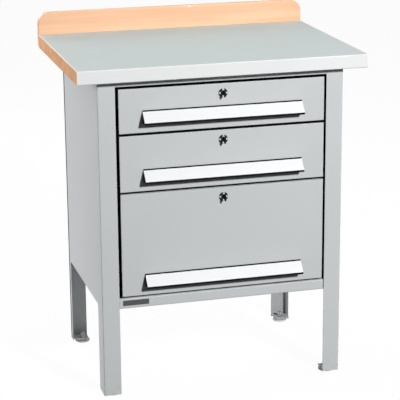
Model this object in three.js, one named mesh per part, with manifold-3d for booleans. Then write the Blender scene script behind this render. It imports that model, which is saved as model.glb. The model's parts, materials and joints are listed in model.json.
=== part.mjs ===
// Workshop bench: a steel side-frame cabinet with three lockable drawers under a beech worktop.
// Millimetres, +Z up, +X to the right, the front faces -Y. The origin is on the floor, under the middle.
import * as THREE from 'three';
import { mergeVertices } from 'three/addons/utils/BufferGeometryUtils.js';
import Module from 'manifold-3d';

const wasm = await Module();
wasm.setup();

// Worktop and upstand
const worktopWidth = 750;
const worktopDepth = 530;
const worktopThickness = 35;
const worktopHeight = 865;
const coverSheet = 1.5;
const coverReturn = 14;
const upstandThickness = 20;
const upstandRise = 60;
const upstandCornerRadius = 30;

// Side frames with their corner legs
const bodyWidth = 640;
const bodyDepth = 450;
const frontOverhang = 32;
const frameSheet = 2;
const legFlange = 45;
const frontLegSide = 55;
const rearLegSide = 28;
const legBottom = 4;
const bendRadius = 3;

// Cabinet panels and rails
const panelSheet = 1.5;
const topRailHeight = 16;
const bottomRailHeight = 27;
const bottomRailReturn = 16;
const backFlange = 30;
const panRearFlange = 20;
const linerReturn = 30;

// Drawers, from the top one down
const drawerHeights = [113, 144, 269];
const drawerGap = 6;
const drawerSideGap = 7;
const drawerProud = 4;
const drawerFrontDepth = 10;
const drawerFrontSheet = 1.5;
const drawerEdgeRadius = 2;
const traySheet = 1.5;
const trayLength = 405;
const trayDrop = 10;
const trayLift = 8;

// Telescopic slides
const slideRoom = 13;
const slideLength = 400;
const slideHeight = 40;
const slideSheet = 1.5;
const slideAboveTray = 12;

// Grip and label strip on each drawer front
const gripLength = 416;
const gripBase = 24.5;
const gripLip = 4;
const gripReach = 26;
const gripRise = 33;
const gripRim = 3;
const gripRimThickness = 2;
const gripWall = 2.5;
const gripCheek = 3;
const labelThickness = 1;
const labelMargin = 1;

// Cylinder locks, keys and keepers
const lockDrop = 24;
const lockBarrelRadius = 9;
const lockRimRadius = 11.5;
const lockRimThickness = 2.5;
const lockNutRadius = 13;
const plugRadius = 6.25;
const plugShaftRadius = 1.5;
const barrelEnd = 1.2;
const camLength = 26;
const camWidth = 14;
const camThickness = 2;
const keyThickness = 2;
const keyBladeHeight = 7;
const keyBladeLength = 14;
const keyNeck = 4;
const keyBowRadius = 9;
const keyHoleRadius = 3;
const keeperClearance = 1.25;
const keeperOverlap = 7;
const keeperFlange = 20;
const keeperAboveGap = 6;

// Levelling feet
const footInset = 27;
const footDiscRadius = 20;
const footDiscHeight = 4;
const footConeTop = 6;
const footNeckRadius = 9;
const footStemRadius = 5;
const footStemTop = 25;
const footPlateBottom = 7;
const footPlateThickness = 3;
const footPlateReach = 43;

// Bare plate on the bottom rail
const plateWidth = 68;
const plateHeight = 14;
const plateThickness = 1;
const plateInset = 9;
const plateDrop = 5;

// Clearances and facets
const seam = 0.25;
const runningGap = 0.3;
const cutPast = 1;
const bendSteps = 3;
const roundSteps = 24;

// Places worked out from the sizes
const totalDepth = worktopDepth + upstandThickness;
const worktopFront = -totalDepth / 2;
const worktopRear = worktopFront + worktopDepth;
const worktopUnderside = worktopHeight - worktopThickness;
const bodyFront = worktopFront + frontOverhang;
const bodyRear = bodyFront + bodyDepth;
const bodySide = bodyWidth / 2;
const bodyTop = worktopUnderside - seam;
const openingSide = bodySide - legFlange;
const flangeBack = bodyFront + frameSheet;
const backPanelFront = bodyRear - frameSheet - seam - panelSheet;
const drawerFace = bodyFront - drawerProud;
const drawerSide = openingSide - drawerSideGap;
const trayFront = drawerFace + drawerFrontDepth + seam;
const traySide = openingSide - slideRoom;
const keeperFront = trayFront + traySheet + keeperClearance;
const keeperBack = keeperFront + panelSheet;
const lockFace = drawerFace - seam - lockRimThickness;
const camFront = keeperBack + cutPast;
const plugBack = camFront - seam;
const topRailBottom = worktopUnderside - topRailHeight;
const drawers = placeDrawers();
const bottomRailTop = drawers[drawers.length - 1].bottom - drawerGap;
const cabinetBottom = bottomRailTop - bottomRailHeight;

// Finishes: colour, roughness and metalness
const greyPaint = { color: 0xc3c6c8, roughness: 0.45, metalness: 0.1 };
const innerPaint = { color: 0xb4b8ba, roughness: 0.5, metalness: 0.1 };
const coverSteel = { color: 0xc9d1cf, roughness: 0.4, metalness: 0.3 };
const beech = { color: 0xd9a877, roughness: 0.6, metalness: 0 };
const beechPly = { color: 0xc8915f, roughness: 0.65, metalness: 0 };
const blackPlastic = { color: 0x111213, roughness: 0.5, metalness: 0 };
const whiteLabel = { color: 0xf3f4f5, roughness: 0.4, metalness: 0 };
const zincSteel = { color: 0xaab0b4, roughness: 0.35, metalness: 0.9 };
const chrome = { color: 0xb9bdc0, roughness: 0.2, metalness: 1 };
const darkPlate = { color: 0x4c4f52, roughness: 0.5, metalness: 0.2 };
const footPlastic = { color: 0xa4a7a9, roughness: 0.7, metalness: 0 };

const bench = new THREE.Group();

function placeDrawers() {
  const places = [];
  let top = topRailBottom - drawerGap;
  for (const height of drawerHeights) {
    const bottom = top - height;
    const trayBottom = bottom + trayLift;
    places.push({ top, bottom, trayBottom, trayTop: top - trayDrop, lockHeight: top - lockDrop });
    top = bottom - drawerGap;
  }
  return places;
}

function addPart(name, geometry, look) {
  const mesh = new THREE.Mesh(geometry, new THREE.MeshStandardMaterial(look));
  mesh.name = name;
  bench.add(mesh);
}

// A closed solid for cutting and joining, and its surface again afterwards
function solid(geometry) {
  const bare = geometry.clone();
  bare.deleteAttribute('normal');
  bare.deleteAttribute('uv');
  const merged = mergeVertices(bare, 1e-4);
  const vertProperties = new Float32Array(merged.attributes.position.array);
  const triVerts = new Uint32Array(merged.index.array);
  return new wasm.Manifold(new wasm.Mesh({ numProp: 3, vertProperties, triVerts }));
}

function surface(body) {
  const mesh = body.getMesh();
  const geometry = new THREE.BufferGeometry();
  geometry.setAttribute('position', new THREE.BufferAttribute(new Float32Array(mesh.vertProperties), 3));
  geometry.setIndex(new THREE.BufferAttribute(new Uint32Array(mesh.triVerts), 1));
  geometry.computeVertexNormals();
  return geometry;
}

function cut(body, ...tools) {
  return surface(tools.reduce((left, tool) => left.subtract(solid(tool)), solid(body)));
}

function join(...bodies) {
  return surface(bodies.map(solid).reduce((whole, body) => whole.add(body)));
}

function block(x0, x1, y0, y1, z0, z1) {
  const geometry = new THREE.BoxGeometry(Math.abs(x1 - x0), y1 - y0, z1 - z0);
  return geometry.translate((x0 + x1) / 2, (y0 + y1) / 2, (z0 + z1) / 2);
}

// Sections drawn flat and run along one axis
const xAxis = new THREE.Vector3(1, 0, 0);
const yAxis = new THREE.Vector3(0, 1, 0);
const zAxis = new THREE.Vector3(0, 0, 1);
const sectionAcrossX = new THREE.Matrix4().makeBasis(yAxis, zAxis, xAxis);
const sectionAcrossY = new THREE.Matrix4().makeBasis(xAxis, zAxis, yAxis.clone().negate());

function outline(points) {
  return new THREE.Shape(points.map(([across, up]) => new THREE.Vector2(across, up)));
}

function prism(shape, length) {
  return new THREE.ExtrudeGeometry(shape, { depth: length, bevelEnabled: false, curveSegments: roundSteps / 2 });
}

function runUp(shape, z0, z1) {
  return prism(shape, z1 - z0).translate(0, 0, z0);
}

function runAlongX(shape, x0, x1) {
  return prism(shape, x1 - x0).applyMatrix4(sectionAcrossX).translate(x0, 0, 0);
}

function runAlongY(shape, y0, y1) {
  return prism(shape, y1 - y0).applyMatrix4(sectionAcrossY).translate(0, y1, 0);
}

function rodAlongY(radius, y0, y1, z) {
  return new THREE.CylinderGeometry(radius, radius, y1 - y0, roundSteps).translate(0, (y0 + y1) / 2, z);
}

// The section of a sheet folded along a path. The sheet lies to the left of the path.
function foldedSheet(path, sheet) {
  const near = [];
  const far = [];
  path.forEach((corner, i) => {
    const into = i > 0 ? heading(path[i - 1], corner) : heading(corner, path[i + 1]);
    const out = i < path.length - 1 ? heading(corner, path[i + 1]) : into;
    const turn = into.angleTo(out) * Math.sign(into.cross(out) || 1);
    const steps = turn === 0 ? 0 : bendSteps;
    const side = turn < 0 ? -1 : 1;
    const nearRadius = turn === 0 ? 0 : bendRadius - (side < 0 ? sheet : 0);
    const farRadius = turn === 0 ? -sheet : nearRadius - side * sheet;
    const normal = new THREE.Vector2(-into.y, into.x).multiplyScalar(side);
    const centre = new THREE.Vector2(...corner)
      .addScaledVector(into, -nearRadius * Math.tan(Math.abs(turn) / 2))
      .addScaledVector(normal, nearRadius);
    for (let step = 0; step <= steps; step += 1) {
      const spoke = normal.clone().negate().rotateAround(new THREE.Vector2(), steps ? (turn * step) / steps : 0);
      near.push(centre.clone().addScaledVector(spoke, nearRadius));
      far.push(centre.clone().addScaledVector(spoke, farRadius));
    }
  });
  return new THREE.Shape([...near, ...far.reverse()]);
}

function heading(from, to) {
  return new THREE.Vector2(to[0] - from[0], to[1] - from[1]).normalize();
}

// A path drawn for the right-hand side (side 1), turned over for the left (side -1)
function mirrored(path, side) {
  const turned = path.map(([x, y]) => [x * side, y]);
  return side > 0 ? turned : turned.reverse();
}

function addWorktop() {
  const half = worktopWidth / 2;
  const coreTop = worktopHeight - coverSheet - seam;
  const coreFront = worktopFront + coverSheet + seam;
  const rebateTop = worktopUnderside + coverSheet + seam;
  const rebateBack = worktopFront + coverReturn + seam;
  const ease = bendRadius - coverSheet;
  const core = outline([
    [worktopRear - seam, worktopUnderside],
    [worktopRear - seam, coreTop],
    [coreFront + ease, coreTop],
    [coreFront, coreTop - ease],
    [coreFront, rebateTop + ease],
    [coreFront + ease, rebateTop],
    [rebateBack, rebateTop],
    [rebateBack, worktopUnderside],
  ]);
  addPart('worktop_core', runAlongX(core, -half, half), beechPly);

  const coverPath = [
    [worktopRear - seam, worktopHeight],
    [worktopFront, worktopHeight],
    [worktopFront, worktopUnderside],
    [worktopFront + coverReturn, worktopUnderside],
  ];
  addPart('worktop_cover', runAlongX(foldedSheet(coverPath, coverSheet), -half, half), coverSteel);

  const top = worktopHeight + upstandRise;
  const board = new THREE.Shape();
  board.moveTo(-half, worktopUnderside);
  board.lineTo(half, worktopUnderside);
  board.absarc(half - upstandCornerRadius, top - upstandCornerRadius, upstandCornerRadius, 0, Math.PI / 2);
  board.absarc(-half + upstandCornerRadius, top - upstandCornerRadius, upstandCornerRadius, Math.PI / 2, Math.PI);
  addPart('upstand', runAlongY(board, worktopRear, worktopRear + upstandThickness), beech);
}

function footHole(side, y) {
  const depth = footPlateThickness + 2 * cutPast;
  return new THREE.CylinderGeometry(footStemRadius + runningGap, footStemRadius + runningGap, depth, roundSteps)
    .rotateX(Math.PI / 2)
    .translate(side * (bodySide - footInset), y, footPlateBottom + footPlateThickness / 2);
}

function addSideFrame(name, side) {
  const path = [
    [openingSide, bodyFront],
    [bodySide, bodyFront],
    [bodySide, bodyRear],
    [openingSide, bodyRear],
  ];
  const channel = runUp(foldedSheet(mirrored(path, side), frameSheet), legBottom, bodyTop);
  const plateEdge = frameSheet / 2;
  const plates = [bodyFront + plateEdge, bodyRear - footPlateReach].map((y) => block(
    side * (bodySide - plateEdge), side * (bodySide - footPlateReach),
    y, y + footPlateReach - plateEdge,
    footPlateBottom, footPlateBottom + footPlateThickness,
  ));
  const legGap = block(
    side * (bodySide + cutPast), side * (bodySide - bendRadius),
    bodyFront + frontLegSide, bodyRear - rearLegSide,
    legBottom - cutPast, cabinetBottom,
  );
  const holes = [bodyFront + footInset, bodyRear - footInset].map((y) => footHole(side, y));
  addPart(name, cut(join(channel, ...plates), legGap, ...holes), greyPaint);
}

function addLiner(name, side) {
  const path = [
    [openingSide + linerReturn, backPanelFront - seam],
    [openingSide, backPanelFront - seam],
    [openingSide, flangeBack + seam],
    [openingSide + linerReturn, flangeBack + seam],
  ];
  addPart(name, runUp(foldedSheet(mirrored(path, side), panelSheet), cabinetBottom, bodyTop), innerPaint);
}

function addRailsAndPanels() {
  const side = openingSide - seam;
  const topRail = [
    [keeperBack, drawers[0].top - keeperOverlap],
    [keeperBack, bodyTop],
    [bodyFront, bodyTop],
    [bodyFront, topRailBottom],
  ];
  addPart('top_rail', runAlongX(foldedSheet(topRail, panelSheet), -side, side), greyPaint);

  const pan = [
    [bodyFront + bottomRailReturn, bottomRailTop],
    [bodyFront, bottomRailTop],
    [bodyFront, cabinetBottom],
    [backPanelFront - seam, cabinetBottom],
    [backPanelFront - seam, cabinetBottom + panRearFlange],
  ];
  addPart('bottom_pan', runAlongX(foldedSheet(pan, panelSheet), -side, side), greyPaint);

  const backSide = bodySide - bendRadius - seam;
  const back = [
    [backPanelFront + panelSheet, cabinetBottom],
    [backPanelFront + panelSheet, bodyTop],
    [backPanelFront + panelSheet - backFlange, bodyTop],
  ];
  const backFold = runAlongX(foldedSheet(back, panelSheet), -backSide, backSide);
  const linerSlots = [1, -1].map((end) => block(
    end * (backSide + cutPast), end * (openingSide - runningGap),
    backPanelFront - backFlange, backPanelFront,
    bodyTop - panelSheet - bendRadius, bodyTop + cutPast,
  ));
  addPart('back_panel', cut(backFold, ...linerSlots), greyPaint);

  drawers.slice(1).forEach((drawer, i) => {
    const railTop = drawers[i].bottom + keeperAboveGap;
    const keeper = [
      [keeperFront + keeperFlange, railTop],
      [keeperFront, railTop],
      [keeperFront, drawer.top - keeperOverlap],
    ];
    addPart(`keeper_rail_${i + 1}`, runAlongX(foldedSheet(keeper, panelSheet), -side, side), innerPaint);
  });

  const plateLeft = -openingSide + plateInset;
  const plateTop = bottomRailTop - plateDrop;
  const plate = block(
    plateLeft, plateLeft + plateWidth,
    bodyFront - seam - plateThickness, bodyFront - seam,
    plateTop - plateHeight, plateTop,
  );
  addPart('bare_plate', plate, darkPlate);
}

function addFoot(name, side, y) {
  const profile = [
    [0, 0],
    [footDiscRadius, 0],
    [footDiscRadius, footDiscHeight],
    [footNeckRadius, footConeTop],
    [footStemRadius, footConeTop],
    [footStemRadius, footStemTop],
    [0, footStemTop],
  ].map(([radius, height]) => new THREE.Vector2(radius, height));
  const foot = new THREE.LatheGeometry(profile, roundSteps).rotateX(Math.PI / 2);
  addPart(name, foot.translate(side * (bodySide - footInset), y, 0), footPlastic);
}

// The drawer front is a shallow folded pan, open at the back, with a bore for the lock
function addDrawerFront(name, drawer) {
  const face = outline([
    [-drawerSide + drawerEdgeRadius, drawer.bottom + drawerEdgeRadius],
    [drawerSide - drawerEdgeRadius, drawer.bottom + drawerEdgeRadius],
    [drawerSide - drawerEdgeRadius, drawer.top - drawerEdgeRadius],
    [-drawerSide + drawerEdgeRadius, drawer.top - drawerEdgeRadius],
  ]);
  const bevel = { bevelThickness: drawerEdgeRadius, bevelSize: drawerEdgeRadius, bevelSegments: bendSteps };
  const rounded = new THREE.ExtrudeGeometry(face, { depth: drawerFrontDepth, ...bevel })
    .applyMatrix4(sectionAcrossY)
    .translate(0, drawerFace + drawerEdgeRadius + drawerFrontDepth, 0);
  const back = drawerFace + drawerFrontDepth;
  const far = back + drawerFrontDepth;
  const wall = drawerFrontSheet;
  const inside = block(
    -drawerSide + wall, drawerSide - wall,
    drawerFace + wall, far,
    drawer.bottom + wall, drawer.top - wall,
  );
  const behind = block(
    -drawerSide - cutPast, drawerSide + cutPast,
    back, far,
    drawer.bottom - cutPast, drawer.top + cutPast,
  );
  const bore = rodAlongY(lockBarrelRadius + runningGap, drawerFace - cutPast, far, drawer.lockHeight);
  addPart(name, cut(rounded, inside, behind, bore), greyPaint);
}

function addTray(name, drawer) {
  const back = trayFront + trayLength;
  const box = block(-traySide, traySide, trayFront, back, drawer.trayBottom, drawer.trayTop);
  const inside = block(
    -traySide + traySheet, traySide - traySheet,
    trayFront + traySheet, back - traySheet,
    drawer.trayBottom + traySheet, drawer.trayTop + cutPast,
  );
  const bore = rodAlongY(
    lockBarrelRadius + runningGap,
    trayFront - cutPast, trayFront + traySheet + cutPast,
    drawer.lockHeight,
  );
  addPart(name, cut(box, inside, bore), innerPaint);
}

// The grip hangs from a rim at its top, slopes out to a lip and is open below for the fingers
function gripSection(drawer) {
  const base = drawer.bottom + gripBase;
  const mount = drawerFace - seam;
  const lipTop = base + gripLip;
  const top = base + gripRise;
  const slope = Math.hypot(gripReach - gripRimThickness, top - gripRim - lipTop);
  const outward = (top - gripRim - lipTop) / slope;
  const upward = (gripReach - gripRimThickness) / slope;
  const fall = outward / upward;
  const inner = (reach) => lipTop - gripWall / upward + (gripReach - reach) * fall;
  const at = (reach, height) => [mount - reach, height];
  return {
    hood: [
      at(0, top),
      at(gripRimThickness, top),
      at(gripRimThickness, top - gripRim),
      at(gripReach, lipTop),
      at(gripReach, base),
      at(gripReach - gripWall, base),
      at(gripReach - gripWall, inner(gripReach - gripWall)),
      at(0, inner(0)),
    ],
    cheek: [
      at(0, top),
      at(gripRimThickness, top),
      at(gripRimThickness, top - gripRim),
      at(gripReach, lipTop),
      at(gripReach, base),
      at(0, base),
    ],
    label: [runningGap, runningGap + labelThickness].map((lift) => [
      at(gripRimThickness + labelMargin * upward + lift * outward,
        top - gripRim - labelMargin * outward + lift * upward),
      at(gripReach - labelMargin * upward + lift * outward,
        lipTop + labelMargin * outward + lift * upward),
    ]),
  };
}

function addGrip(name, labelName, drawer) {
  const half = gripLength / 2;
  const { hood, cheek, label } = gripSection(drawer);
  const body = join(
    runAlongX(outline(hood), -half, half),
    runAlongX(outline(cheek), -half, -half + gripCheek),
    runAlongX(outline(cheek), half - gripCheek, half),
  );
  addPart(name, body, blackPlastic);
  const [under, over] = label;
  addPart(labelName, runAlongX(outline([...under, ...over.reverse()]), -half, half), whiteLabel);
}

function addLock(name, drawer) {
  const boreRadius = plugRadius + runningGap;
  const shaftBore = plugShaftRadius + runningGap;
  const nutFront = trayFront + traySheet + seam;
  const nutBack = plugBack - seam;
  const boreBack = nutBack - barrelEnd;
  const profile = [
    [boreRadius, lockFace],
    [lockRimRadius, lockFace],
    [lockRimRadius, drawerFace - seam],
    [lockBarrelRadius, drawerFace - seam],
    [lockBarrelRadius, nutFront],
    [lockNutRadius, nutFront],
    [lockNutRadius, nutBack],
    [shaftBore, nutBack],
    [shaftBore, boreBack],
    [boreRadius, boreBack],
    [boreRadius, lockFace],
  ].map(([radius, y]) => new THREE.Vector2(radius, y));
  const body = new THREE.LatheGeometry(profile, roundSteps).translate(0, 0, drawer.lockHeight);
  addPart(`${name}_lock_body`, body, chrome);

  const keyway = block(
    -keyThickness / 2 - runningGap, keyThickness / 2 + runningGap,
    lockFace - cutPast, lockFace + keyBladeLength + runningGap,
    drawer.lockHeight - keyBladeHeight / 2 - runningGap, drawer.lockHeight + keyBladeHeight / 2 + runningGap,
  );
  const plug = join(
    rodAlongY(plugRadius, lockFace, boreBack - seam, drawer.lockHeight),
    rodAlongY(plugShaftRadius, lockFace + cutPast, plugBack, drawer.lockHeight),
  );
  addPart(`${name}_lock_plug`, cut(plug, keyway), chrome);

  const tongue = outline([
    [-camWidth / 2, drawer.lockHeight - camWidth / 2],
    [camLength, drawer.lockHeight - camWidth / 2],
    [camLength, drawer.lockHeight + camWidth / 2],
    [-camWidth / 2, drawer.lockHeight + camWidth / 2],
  ]);
  addPart(`${name}_lock_cam`, runAlongY(tongue, camFront, camFront + camThickness), zincSteel);
  addKey(`${name}_key`, drawer.lockHeight);
}

function addKey(name, height) {
  const bowCentre = lockFace - keyNeck - keyBowRadius;
  const bow = new THREE.Shape().absarc(bowCentre, height, keyBowRadius, 0, 2 * Math.PI);
  bow.holes.push(new THREE.Path().absarc(bowCentre - keyHoleRadius, height, keyHoleRadius, 0, 2 * Math.PI, true));
  const half = keyThickness / 2;
  const blade = block(
    -half, half,
    bowCentre + keyHoleRadius, lockFace + keyBladeLength,
    height - keyBladeHeight / 2, height + keyBladeHeight / 2,
  );
  addPart(name, join(runAlongX(bow, -half, half), blade), zincSteel);
}

// Three nested channels: on the liner, between, and on the drawer
function addSlides(name, drawer, handName, side) {
  const middle = drawer.trayBottom + slideAboveTray + slideHeight / 2;
  const start = trayFront + traySheet + seam;
  const end = start + slideLength;
  const wallFace = openingSide - seam;
  const drawerFaceX = traySide + seam;
  const step = slideSheet + runningGap;
  const nested = [
    ['rail', wallFace, drawerFaceX + 2 * step, 0],
    ['slide', wallFace - step, drawerFaceX + step, 1],
    ['runner', drawerFaceX, wallFace - 2 * step, 2],
  ];
  for (const [part, web, lip, depth] of nested) {
    const reach = slideHeight / 2 - depth * step;
    const webIn = web + Math.sign(lip - web) * slideSheet;
    const section = [
      [lip, middle - reach], [web, middle - reach], [web, middle + reach], [lip, middle + reach],
      [lip, middle + reach - slideSheet], [webIn, middle + reach - slideSheet],
      [webIn, middle - reach + slideSheet], [lip, middle - reach + slideSheet],
    ];
    const channel = runAlongY(outline(mirrored(section, side)), start, end);
    addPart(`${name}_${handName}_${part}`, channel, zincSteel);
  }
}

addWorktop();
addSideFrame('left_side_frame', -1);
addSideFrame('right_side_frame', 1);
addLiner('left_liner', -1);
addLiner('right_liner', 1);
addRailsAndPanels();
addFoot('foot_front_left', -1, bodyFront + footInset);
addFoot('foot_front_right', 1, bodyFront + footInset);
addFoot('foot_rear_left', -1, bodyRear - footInset);
addFoot('foot_rear_right', 1, bodyRear - footInset);
drawers.forEach((drawer, i) => {
  const name = `drawer_${i + 1}`;
  addDrawerFront(`${name}_front`, drawer);
  addTray(`${name}_tray`, drawer);
  addGrip(`${name}_grip`, `${name}_label`, drawer);
  addLock(name, drawer);
  addSlides(name, drawer, 'left', -1);
  addSlides(name, drawer, 'right', 1);
});

export default bench;
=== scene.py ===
# %% [markdown]
# # A workshop bench, dressed in Blender
# The bench is a folded-steel cabinet with three lockable drawers under a beech worktop. Its solids come
# packed as a fixed frame, at real size and in metres. This lesson gives every piece its finish, eases the
# sharp edges that real sheet and wood never have, and adds the small repeated parts.

# %% Load the frame
import json
import math

import bmesh
import bpy
from mathutils import Matrix, Vector


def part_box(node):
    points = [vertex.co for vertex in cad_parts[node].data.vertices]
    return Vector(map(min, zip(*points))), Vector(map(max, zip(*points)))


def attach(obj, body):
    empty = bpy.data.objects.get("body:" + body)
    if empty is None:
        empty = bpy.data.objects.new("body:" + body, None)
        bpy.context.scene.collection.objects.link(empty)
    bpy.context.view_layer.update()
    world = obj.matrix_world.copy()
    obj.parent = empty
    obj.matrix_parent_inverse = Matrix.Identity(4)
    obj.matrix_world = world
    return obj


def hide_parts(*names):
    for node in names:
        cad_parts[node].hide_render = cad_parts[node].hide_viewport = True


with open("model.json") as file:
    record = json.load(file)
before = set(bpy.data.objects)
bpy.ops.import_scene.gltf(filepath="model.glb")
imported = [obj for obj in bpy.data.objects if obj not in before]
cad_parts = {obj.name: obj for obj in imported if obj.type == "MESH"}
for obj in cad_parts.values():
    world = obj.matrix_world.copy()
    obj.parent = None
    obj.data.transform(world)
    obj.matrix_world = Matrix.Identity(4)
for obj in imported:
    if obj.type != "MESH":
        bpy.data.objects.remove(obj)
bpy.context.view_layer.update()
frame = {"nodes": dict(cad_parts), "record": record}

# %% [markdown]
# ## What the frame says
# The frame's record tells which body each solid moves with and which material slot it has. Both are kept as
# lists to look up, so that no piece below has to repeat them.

record = frame["record"]
node_body = {node: body for body, nodes in record["behaviour"]["bodies"].items() for node in nodes}
node_slot = {part["node"]: part["material_slot"] for part in record["subparts"]}
mm = 0.001
DRAWERS = ("drawer_1", "drawer_2", "drawer_3")
HANDS = ("left", "right")

# %% [markdown]
# ## Camera
# The bench was seen from the front left and a little above, through a long lens that keeps its uprights
# nearly parallel. A camera on a ball round one aim point needs few numbers: two angles, a distance, a lens
# and a slight roll. They were fitted to the corners of the worktop, the legs and the drawers.

# %% Camera
CAMERA_AZIMUTH = math.radians(-15.3)
CAMERA_ELEVATION = math.radians(15.96)
CAMERA_ROLL = math.radians(-0.47)
CAMERA_DISTANCE = 4.32
CAMERA_LENS = 144.0
CAMERA_SENSOR = 36.0
CAMERA_AIM = Vector((0.0057, 0.0, 0.437))


def on_ball(azimuth, elevation):
    """A unit vector from the aim point towards that azimuth and elevation."""
    flat = math.cos(elevation)
    return Vector((math.sin(azimuth) * flat, -math.cos(azimuth) * flat, math.sin(elevation)))


camera = bpy.data.objects.new("camera", bpy.data.cameras.new("camera"))
bpy.context.scene.collection.objects.link(camera)
camera.data.lens = CAMERA_LENS
camera.data.sensor_width = CAMERA_SENSOR
towards_camera = on_ball(CAMERA_AZIMUTH, CAMERA_ELEVATION)
look = (-towards_camera).to_track_quat("-Z", "Y").to_matrix().to_4x4()
camera.matrix_world = (
    Matrix.Translation(CAMERA_AIM + towards_camera * CAMERA_DISTANCE)
    @ look
    @ Matrix.Rotation(CAMERA_ROLL, 4, "Z")
)
bpy.context.scene.camera = camera
print("camera at", [round(v, 3) for v in camera.matrix_world.translation])

# %% [markdown]
# ## Shader helpers
# Every finish below is built from nodes. A few small helpers keep that readable. One adds a node and fills or
# wires its inputs. Others wrap the nodes that come up again and again: sums, noise, smooth steps and colour
# mixes. The last turns the 0 to 255 values of a colour chart into the linear values that the shader wants.

# %% Shader helpers


def add_node(tree, kind, inputs=None, **settings):
    """A new node: settings are its properties, inputs its socket values or the sockets wired into them."""
    made = tree.nodes.new(kind)
    for key, value in settings.items():
        setattr(made, key, value)
    for key, value in (inputs or {}).items():
        if isinstance(value, bpy.types.NodeSocket):
            tree.links.new(value, made.inputs[key])
        else:
            made.inputs[key].default_value = value
    return made


def maths(tree, operation, *values, **settings):
    """The result of a Math node on one to three values."""
    inputs = dict(enumerate(values))
    return add_node(tree, "ShaderNodeMath", inputs, operation=operation, **settings).outputs[0]


def noise(tree, vector, scale, detail):
    """The value socket of a noise pattern."""
    inputs = {"Vector": vector, "Scale": scale, "Detail": detail}
    return add_node(tree, "ShaderNodeTexNoise", inputs).outputs["Fac"]


def axes_of(tree, vector):
    """The X, Y and Z sockets of a vector."""
    return add_node(tree, "ShaderNodeSeparateXYZ", {"Vector": vector}).outputs


def ramp(tree, value, low, high, to_low=0.0, to_high=1.0):
    """The value socket of a smooth step from low to high."""
    inputs = {"Value": value, "From Min": low, "From Max": high, "To Min": to_low, "To Max": to_high}
    return add_node(tree, "ShaderNodeMapRange", inputs, interpolation_type="SMOOTHSTEP").outputs["Result"]


# The Mix node keeps sockets for numbers, vectors and colours side by side: these are its colour ones.
MIX_FACTOR, MIX_FIRST, MIX_SECOND, MIX_RESULT = 0, 6, 7, 2


def mix_colours(tree, factor, first, second):
    """The colour socket of a mix from first to second by factor."""
    inputs = {MIX_FACTOR: factor, MIX_FIRST: first, MIX_SECOND: second}
    return add_node(tree, "ShaderNodeMix", inputs, data_type="RGBA").outputs[MIX_RESULT]


def chart(red, green, blue):
    """A linear colour from display values between 0 and 255, by the standard display curve."""
    display = [value / 255 for value in (red, green, blue)]
    linear = [v / 12.92 if v <= 0.04045 else ((v + 0.055) / 1.055) ** 2.4 for v in display]
    return (*linear, 1.0)


# %% [markdown]
# ## Shader groups
# An effect that several finishes share becomes a node group with named inputs. A group gives back only
# colours, masks and heights. The shader itself stays in each material, where its own values can be read.

# %% Shader groups
ORIGIN = ("Vector", (0, 0, 0))


def new_group(name, inputs, outputs):
    """An empty shader group with named sockets, and its inner ends."""
    tree = bpy.data.node_groups.new(name, "ShaderNodeTree")
    for label, (kind, value) in inputs.items():
        socket = tree.interface.new_socket(name=label, in_out="INPUT", socket_type=f"NodeSocket{kind}")
        socket.default_value = value
    for label, kind in outputs.items():
        tree.interface.new_socket(name=label, in_out="OUTPUT", socket_type=f"NodeSocket{kind}")
    return tree, tree.nodes.new("NodeGroupInput").outputs, tree.nodes.new("NodeGroupOutput").inputs


def use_group(tree, group, inputs):
    """The outputs of a group placed in a material with its own values."""
    return add_node(tree, "ShaderNodeGroup", inputs, node_tree=group).outputs


# %% [markdown]
# ## Surface effects
# Powder coat, sheet and plastic all vary a little in tone, and all have a fine surface that breaks up a
# reflection. Legs and feet also collect scuffs near the floor. Noise gives all three: slow noise for the
# tone, fine noise for the skin, and noise cut off at a threshold and faded with height for the scuffs.

# %% Surface effects
NOISE_MIDDLE = 0.5


def make_mottle():
    """Slow changes of tone over a surface."""
    sockets = {"Vector": ORIGIN, "Color": ("Color", (1, 1, 1, 1)),
               "Scale": ("Float", 6.0), "Amount": ("Float", 0.05)}
    tree, given, result = new_group("mottle", sockets, {"Color": "Color"})
    cloud = noise(tree, given["Vector"], given["Scale"], detail=4.0)
    centred = maths(tree, "SUBTRACT", cloud, NOISE_MIDDLE)
    swing = maths(tree, "MULTIPLY_ADD", centred, given["Amount"], 1.0)
    toned = add_node(tree, "ShaderNodeHueSaturation", {"Color": given["Color"], "Value": swing})
    tree.links.new(toned.outputs["Color"], result["Color"])
    return tree


def make_fine_skin():
    """The fine bumps of a coated or moulded surface, and the roughness that goes with them."""
    sockets = {"Vector": ORIGIN, "Scale": ("Float", 600.0),
               "Roughness": ("Float", 0.45), "Spread": ("Float", 0.08)}
    tree, given, result = new_group("fine_skin", sockets, {"Height": "Float", "Roughness": "Float"})
    grain = noise(tree, given["Vector"], given["Scale"], detail=2.0)
    broad = noise(tree, given["Vector"], scale=14.0, detail=3.0)
    centred = maths(tree, "SUBTRACT", broad, NOISE_MIDDLE)
    rough = maths(tree, "MULTIPLY_ADD", centred, given["Spread"], given["Roughness"])
    tree.links.new(grain, result["Height"])
    tree.links.new(rough, result["Roughness"])
    return tree


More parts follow.
